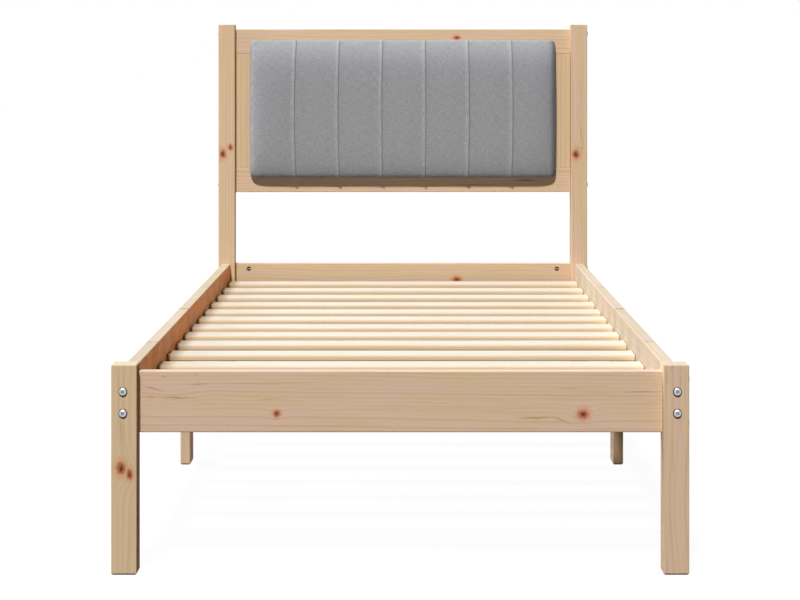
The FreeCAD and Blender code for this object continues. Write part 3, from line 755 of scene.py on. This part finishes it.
SEAMS = (-280.0, -166.5, -53.5, 58.0, 170.5, 284.0)
SEAM_BOWS = (-3.4, -3.1, -2.0, 1.2, 2.2, 2.6)
TUCK = ((-10.0, 0.0), (-7.5, 0.5), (-5.4, 1.5), (-3.4, 2.6), (-1.6, 3.3), (0.0, 3.5), (1.0, 2.8), (1.6, 0.3),
        (2.4, -0.9), (4.6, -0.3))
CHANNEL_SHARES = (0.12, 0.25, 0.38, 0.5, 0.62, 0.75, 0.88)
# Steps from the start of the rounded edge inwards, and the number of rows between them
PAD_RIM_STEPS = (0, 4, 9)
PAD_ROWS = 30
PAD_ROUND = 13.0
PAD_WALL = 8.0
PAD_SWELL_ROOM = 4.6
PAD_SWELL_LIMIT = 2.2
STUFFING_FRAMES = 20
# How far around a lower and an upper corner the edge's direction is eased
PAD_CORNERS = (3.0, 11.0)
SAME_PLACE = 0.01
PAD_ROOM = {"left": -0.4, "right": 1.6, "bottom": 0.4, "top": 0.6}
PAD_TURNS = (0.16, 0.34, 0.52, 0.70, 0.86, 1.0)
PAD_SIDE_STEPS = (0.5, 0.97)
PAD_HEM = (1.0, 10.0, 21.0)
HEM_END_STEP, HEM_END_RISE = 0.6, 4.0
# How far the front falls back at each side, and over what distance from it
PAD_FALL = {"top": (32.0, 30.0), "bottom": (13.0, 27.0), "left": (13.0, 15.0), "right": (13.0, 15.0)}


def pad_columns(half_width):
    """(place, tuck height, seam) of every column across the pad's front, in mm."""
    inner = half_width - PAD_ROUND
    columns = [(-inner + step, 0.0, None) for step in PAD_RIM_STEPS]
    start = columns[-1][0]
    for number, seam in enumerate(SEAMS):
        end = seam + TUCK[0][0]
        columns += [(start + share * (end - start), 0.0, None) for share in CHANNEL_SHARES]
        columns += [(seam + offset, rise, number) for offset, rise in TUCK]
        start = seam + TUCK[-1][0]
    end = inner - PAD_RIM_STEPS[-1]
    columns += [(start + share * (end - start), 0.0, None) for share in CHANNEL_SHARES]
    columns += [(inner - step, 0.0, None) for step in reversed(PAD_RIM_STEPS)]
    return columns


def bow_at(x, rise):
    """How far the sewn lines lean sideways at a place across and a share of the height, in mm."""
    swing = 1 - (2 * rise - 1) ** 2
    beyond = 400.0
    known = [(-beyond, 0.0), *zip(SEAMS, SEAM_BOWS), (beyond, 0.0)]
    for (first, low), (second, high) in zip(known, known[1:]):
        if first <= x <= second:
            return swing * (low + (high - low) * (x - first) / (second - first))
    return 0.0


def pad_fall(x, z, low, high):
    """How far the pad's front falls back from its crown at a place, in mm, and how steeply outwards."""
    gaps = {"left": x - low.x, "right": high.x - x, "bottom": z - low.z, "top": high.z - z}
    depth, steep = 0.0, Vector((0, 0, 0))
    outwards = {"left": LEFT, "right": RIGHT, "bottom": DOWN, "top": UP}
    for side, gap in gaps.items():
        most, reach = PAD_FALL[side]
        fall = most * math.exp(-gap / reach)
        depth += fall
        steep += Vector(outwards[side]) * fall / reach
    return depth, steep


def rim_directions(places, bottom, top, corners):
    """Where each place of the rim faces in the front's plane, eased to the diagonals at the corners."""
    directions = []
    for place in places:
        angle = 180 if place.x < 0 else 0
        if abs(place.z - bottom) < SAME_PLACE:
            angle = 270
        elif abs(place.z - top) < SAME_PLACE:
            angle = 90
        for diagonal, (corner, easing) in corners.items():
            distance = (corner - place).length
            if distance < easing:
                turn = (diagonal - angle + 180) % 360 - 180
                angle += turn * (1 - distance / easing)
        directions.append(Vector((math.cos(math.radians(angle)), 0, math.sin(math.radians(angle)))))
    return directions


def pad_shape():
    """The pad before it is stuffed: vertices, faces, tuck heights and what the stitching holds."""
    low, high = (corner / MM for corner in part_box("pad_cover"))
    low += Vector((PAD_ROOM["left"], 0, PAD_ROOM["bottom"]))
    high -= Vector((PAD_ROOM["right"], 0, PAD_ROOM["top"]))
    back = high.y
    front = low.y + PAD_SWELL_ROOM
    side_depth = back - front
    columns = pad_columns((high.x - low.x) / 2)
    rows = [low.z + PAD_ROUND + step for step in PAD_RIM_STEPS]
    first, last = rows[-1], high.z - PAD_ROUND - PAD_RIM_STEPS[-1]
    rows += [first + (last - first) * step / PAD_ROWS for step in range(1, PAD_ROWS)]
    rows += [high.z - PAD_ROUND - step for step in reversed(PAD_RIM_STEPS)]
    points, tucks, held = [], [], []

    def add(x, depth, z, tuck, hold):
        points.append(Vector((x, front + depth, z)) * MM)
        tucks.append(tuck)
        held.append(hold)
        return len(points) - 1

    grid = []
    for z in rows:
        rise = (z - rows[0]) / (rows[-1] - rows[0])
        line = []
        for x, tuck, seam in columns:
            bowed = x + bow_at(x, rise)
            line.append(add(bowed, pad_fall(bowed, z, low, high)[0], z, tuck, seam is not None))
        grid.append(line)
    faces = []
    for lower, upper in zip(grid, grid[1:]):
        for column in range(len(columns) - 1):
            faces.append((lower[column], lower[column + 1], upper[column + 1], upper[column]))

    rim = grid[0] + [row[-1] for row in grid[1:-1]] + grid[-1][::-1] + [row[0] for row in grid[-2:0:-1]]
    bases = [points[index] / MM for index in rim]
    lower_easing, upper_easing = PAD_CORNERS
    corners = {
        225: (points[grid[0][0]] / MM, lower_easing), 315: (points[grid[0][-1]] / MM, lower_easing),
        45: (points[grid[-1][-1]] / MM, upper_easing), 135: (points[grid[-1][0]] / MM, upper_easing),
    }
    outward = rim_directions(bases, rows[0], rows[-1], corners)
    starts = []
    for base, direction in zip(bases, outward):
        depth, steep = pad_fall(base.x, base.z, low, high)
        tilt = math.atan(max(0.05, steep.dot(direction)))
        radius = PAD_ROUND / (1 - math.sin(tilt))
        fall = min(radius * math.cos(tilt), side_depth - PAD_WALL - depth)
        starts.append((depth, tilt, fall))

    loops = [rim]
    for share in PAD_TURNS:
        loop = []
        for index, base, direction, (depth, tilt, fall) in zip(rim, bases, outward, starts):
            turn = tilt + share * (math.pi / 2 - tilt)
            out = PAD_ROUND * (math.sin(turn) - math.sin(tilt)) / (1 - math.sin(tilt))
            back_by = depth + fall * (1 - math.cos(turn) / math.cos(tilt))
            spot = base + direction * out
            loop.append(add(spot.x, back_by, spot.z, tucks[index] * (1 - share ** 2), held[index]))
        loops.append(loop)
    sides = [(PAD_ROUND, share) for share in PAD_SIDE_STEPS]
    hem = [(PAD_ROUND - inward, 1.0) for inward in PAD_HEM]
    for out, share in sides + hem:
        loop = []
        for base, direction, (depth, _, fall) in zip(bases, outward, starts):
            spot = base + direction * out
            edge = depth + fall
            loop.append(add(spot.x, edge + share * (side_depth - edge), spot.z, 0.0, share > 0.6))
        loops.append(loop)
    tucked_in = []
    for base, direction in zip(bases, outward):
        spot = base + direction * (PAD_ROUND - PAD_HEM[-1] - HEM_END_STEP)
        tucked_in.append(add(spot.x, side_depth - HEM_END_RISE, spot.z, 0.0, True))
    loops.append(tucked_in)
    for inner, outer in zip(loops, loops[1:]):
        for side in range(len(rim)):
            after = (side + 1) % len(rim)
            faces.append((inner[side], outer[side], outer[after], inner[after]))
    faces.append(tuple(loops[-1]))
    return points, faces, tucks, held


def stuffed(piece, held, cap):
    """Lets the stuffing swell a sewn cover between its stitching, and caps how far a place may move."""
    stitched = piece.vertex_groups.new(name="stitched")
    stitched.add([index for index, hold in enumerate(held) if hold], 1.0, "REPLACE")
    rest = [vert.co.copy() for vert in piece.data.vertices]
    cloth = piece.modifiers.new("stuffing", "CLOTH")
    cloth.settings.vertex_group_mass = "stitched"
    cloth.settings.use_pressure = True
    cloth.settings.uniform_pressure_force = 4.0
    cloth.settings.effector_weights.gravity = 0.0
    cloth.settings.tension_stiffness = 25.0
    cloth.settings.compression_stiffness = 25.0
    cloth.settings.bending_stiffness = 2.0
    cloth.settings.quality = 6
    cloth.collision_settings.use_collision = False
    scene = bpy.context.scene
    for number in range(1, STUFFING_FRAMES + 1):
        scene.frame_set(number)
    swollen = bpy.data.meshes.new_from_object(piece.evaluated_get(bpy.context.evaluated_depsgraph_get()))
    piece.modifiers.remove(cloth)
    for vert, start, moved in zip(piece.data.vertices, rest, swollen.vertices):
        move = moved.co - start
        vert.co = start + move * min(1.0, cap / max(move.length, 1e-9))
    bpy.data.meshes.remove(swollen)
    scene.frame_set(1)


def fabric_material():
    """Grey plain-woven cloth of uneven threads, with painted light on its top and left and painted shade on
    its foot and right.
    """
    material, shade, surface = new_material("grey_woven_cloth")
    x, y, z = shade.split(shade.node("ShaderNodeTexCoord").outputs["Object"])[:3]
    thread = 1.1 * MM
    warp = shade.math("DIVIDE", shade.math("ADD", x, y), thread)
    weft = shade.math("DIVIDE", shade.math("ADD", z, y), thread)
    over = shade.math("MULTIPLY", shade.math("SINE", shade.math("MULTIPLY", warp, math.pi)),
                      shade.math("SINE", shade.math("MULTIPLY", weft, math.pi)))
    warp_slub = shade.noise(
        shade.join(shade.math("MULTIPLY", warp, 0.62), 3.0, shade.math("MULTIPLY", weft, 0.070)), 1.0, 2.0)
    weft_slub = shade.noise(
        shade.join(shade.math("MULTIPLY", warp, 0.070), 9.0, shade.math("MULTIPLY", weft, 0.62)), 1.0, 2.0)
    raised = shade.fade(over, -0.25, 0.25)
    threads = shade.math("MULTIPLY_ADD", shade.math("SUBTRACT", warp_slub, weft_slub), raised, weft_slub)
    slubs = shade.math("ADD", warp_slub, weft_slub)
    tone = shade.math("MULTIPLY_ADD", threads, 0.5, shade.math("MULTIPLY", slubs, 0.25))
    colour = shade.mix(shade.fade(tone, 0.30, 0.70), srgb(139, 140, 143), srgb(163, 164, 167))
    # Painted shade in the hollows between the raised threads
    hollow = shade.fade(shade.math("ABSOLUTE", over), 0.0, 0.35, 0.80, 1.0)
    colour = shade.dimmed(colour, hollow)
    low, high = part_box("pad_cover")
    # Painted light and shade: the top and left edges paler, the foot and the right edge darker
    painted_light_and_shade = 1.0
    for side in (
        shade.fade(z, high.z - 85 * MM, high.z - 8 * MM, 1.0, 1.13),
        shade.fade(z, low.z + 6 * MM, low.z + 45 * MM, 0.89, 1.0),
        shade.fade(z, high.z - 18 * MM, high.z - 9 * MM, 1.0, 1.10),
        shade.fade(x, low.x + 1 * MM, low.x + 18 * MM, 1.20, 1.0),
        shade.fade(x, high.x - 19 * MM, high.x - 4 * MM, 1.0, 0.46),
    ):
        painted_light_and_shade = shade.math("MULTIPLY", side, painted_light_and_shade)
    colour = shade.dimmed(colour, painted_light_and_shade)
    shade.put(surface.inputs["Base Color"], colour)
    shade.put(surface.inputs["Roughness"], shade.math("MULTIPLY_ADD", slubs, 0.10, 0.78))
    height = shade.math("ADD", shade.math("ABSOLUTE", over), shade.math("MULTIPLY", slubs, 0.8))
    shade.bump(surface, height, 0.35, 0.4 * MM)
    surface.inputs["Sheen Weight"].default_value = 0.25
    surface.inputs["Sheen Roughness"].default_value = 0.5
    surface.inputs["Specular IOR Level"].default_value = 0.08
    return material


def make_pad():
    """The stuffed and sewn pad in the place of the plain cover and foam."""
    points, faces, tucks, held = pad_shape()
    mesh = bpy.data.meshes.new("pad_upholstered")
    mesh.from_pydata(points, [], faces)
    mesh.validate()
    piece = bpy.data.objects.new("pad_upholstered", mesh)
    bpy.context.scene.collection.objects.link(piece)
    stuffed(piece, held, PAD_SWELL_LIMIT * MM)
    mesh.update()
    normals = [vert.normal.copy() for vert in mesh.vertices]
    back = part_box("pad_cover")[1].y
    for vert, normal, tuck in zip(mesh.vertices, normals, tucks):
        vert.co += normal * tuck * MM
        vert.co.y = min(vert.co.y, back)
    for face in mesh.polygons:
        face.use_smooth = True
    mesh.materials.append(fabric_material())
    smooth = piece.modifiers.new("round_cloth", "SUBSURF")
    smooth.levels = 1
    smooth.render_levels = 1
    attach(piece, "root")
    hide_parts("pad_cover", "pad_foam")


def plywood_material():
    """Bare plywood with a rotary-cut face veneer."""
    material, shade, surface = new_material("pad_board_plywood")
    x, y, z = shade.split(shade.node("ShaderNodeTexCoord").outputs["Object"])[:3]
    veneer = [shade.math("MULTIPLY", place, scale) for place, scale in ((x, 6.0), (y, 700.0), (z, 60.0))]
    figure = shade.noise(shade.join(*veneer), 1.0, 4.0, 0.6)
    colour = shade.mix(shade.fade(figure, 0.30, 0.72), srgb(196, 160, 116), srgb(222, 190, 148))
    shade.put(surface.inputs["Base Color"], colour)
    shade.put(surface.inputs["Roughness"], shade.math("MULTIPLY_ADD", figure, 0.2, 0.62))
    shade.bump(surface, figure, 0.2, 0.5 * MM)
    return material


make_pad()
finish_node("pad_board", plywood_material())


# Floor, light and camera

FLOOR_REACH = 40.0
LAMP_AIM = (0, 0, 0.4)


def seen_or_mirrored(shade):
    """1 for what is seen, straight or in a reflection, and 0 for the light that falls on the bed."""
    ray = shade.node("ShaderNodeLightPath").outputs
    mirrored = shade.math("MAXIMUM", ray["Is Glossy Ray"], ray["Is Transmission Ray"])
    return shade.math("MAXIMUM", ray["Is Camera Ray"], mirrored)


def make_floor():
    """A wide pale floor that looks white to the camera and keeps the bed's shadow."""
    mesh = bpy.data.meshes.new("floor")
    corners = [(x * FLOOR_REACH, y * FLOOR_REACH, 0) for x, y in ((-1, -1), (1, -1), (1, 1), (-1, 1))]
    mesh.from_pydata(corners, [], [(0, 1, 2, 3)])
    floor = bpy.data.objects.new("floor", mesh)
    bpy.context.scene.collection.objects.link(floor)
    material, shade, surface = new_material("pale_floor")
    tree = material.node_tree
    tree.nodes.remove(surface)
    leave = tree.nodes["Material Output"]
    place = shade.node("ShaderNodeTexCoord").outputs["Object"]
    glow = shade.fade(shade.vector("LENGTH", place), 1.5, 4.5, 0.96, 1.0)
    plain = shade.node("ShaderNodeBsdfDiffuse", inputs={"Color": (0.14, 0.14, 0.14, 1.0)})
    white = shade.node("ShaderNodeEmission", inputs={"Color": (1.0, 1.0, 1.0, 1.0), "Strength": glow})
    shaded = shade.node("ShaderNodeBsdfDiffuse", inputs={"Color": (0.045, 0.045, 0.045, 1.0)})
    bright = shade.node("ShaderNodeAddShader")
    tree.links.new(white.outputs[0], bright.inputs[0])
    tree.links.new(shaded.outputs[0], bright.inputs[1])
    both = shade.node("ShaderNodeMixShader", inputs={"Fac": seen_or_mirrored(shade)})
    tree.links.new(plain.outputs[0], both.inputs[1])
    tree.links.new(bright.outputs[0], both.inputs[2])
    tree.links.new(both.outputs[0], leave.inputs["Surface"])
    mesh.materials.append(material)


def make_world():
    """White to the camera and in reflections, and a low even light on the bed."""
    world = bpy.data.worlds.new("studio")
    bpy.context.scene.world = world
    world.use_nodes = True
    shade = Shade(world.node_tree)
    background = world.node_tree.nodes["Background"]
    background.inputs["Color"].default_value = (1.0, 1.0, 1.0, 1.0)
    strength = shade.math("MULTIPLY_ADD", seen_or_mirrored(shade), 0.97, 0.03)
    shade.put(background.inputs["Strength"], strength)


def make_lamp(name, place, size, power, mirrored=True):
    """A round lamp that looks at the bed's middle."""
    lamp = bpy.data.lights.new(name, "AREA")
    lamp.shape = "DISK"
    lamp.size = size
    lamp.energy = power
    thing = bpy.data.objects.new(name, lamp)
    thing.visible_glossy = mirrored
    thing.location = place
    thing.rotation_mode = "QUATERNION"
    thing.rotation_quaternion = (Vector(LAMP_AIM) - Vector(place)).to_track_quat("-Z", "Y")
    bpy.context.scene.collection.objects.link(thing)


def make_camera():
    """A long lens at the foot end, level with the headboard, its frame shifted down over the bed."""
    focal_pixels = 2137.0
    frame_width, frame_height = 800.0, 600.0
    centre_x, centre_y = 407.5, 72.5
    camera = bpy.data.cameras.new("photo_camera")
    camera.sensor_fit = "HORIZONTAL"
    camera.sensor_width = 36.0
    camera.lens = focal_pixels * camera.sensor_width / frame_width
    camera.shift_x = (frame_width / 2 - centre_x) / frame_width
    camera.shift_y = (centre_y - frame_height / 2) / frame_width
    camera.clip_start = 0.05
    camera.clip_end = 200.0
    thing = bpy.data.objects.new("photo_camera", camera)
    thing.location = Vector((12.3, -4599.0, 838.7)) * MM
    thing.rotation_euler = (math.radians(90), 0, 0)
    bpy.context.scene.collection.objects.link(thing)
    bpy.context.scene.camera = thing


make_floor()
make_world()
make_lamp("key_lamp", (-3.1, -15.5, 19.8), 2.4, 7300)
make_lamp("left_lamp", (-8.0, 1.7, 2.6), 4.5, 530)
make_lamp("upper_lamp", (-3.4, 0.7, 5.2), 2.5, 90)
make_lamp("back_lamp", (3.4, 12.0, 1.6), 3.0, 620, mirrored=False)
make_camera()
bpy.context.scene.view_settings.view_transform = "Standard"
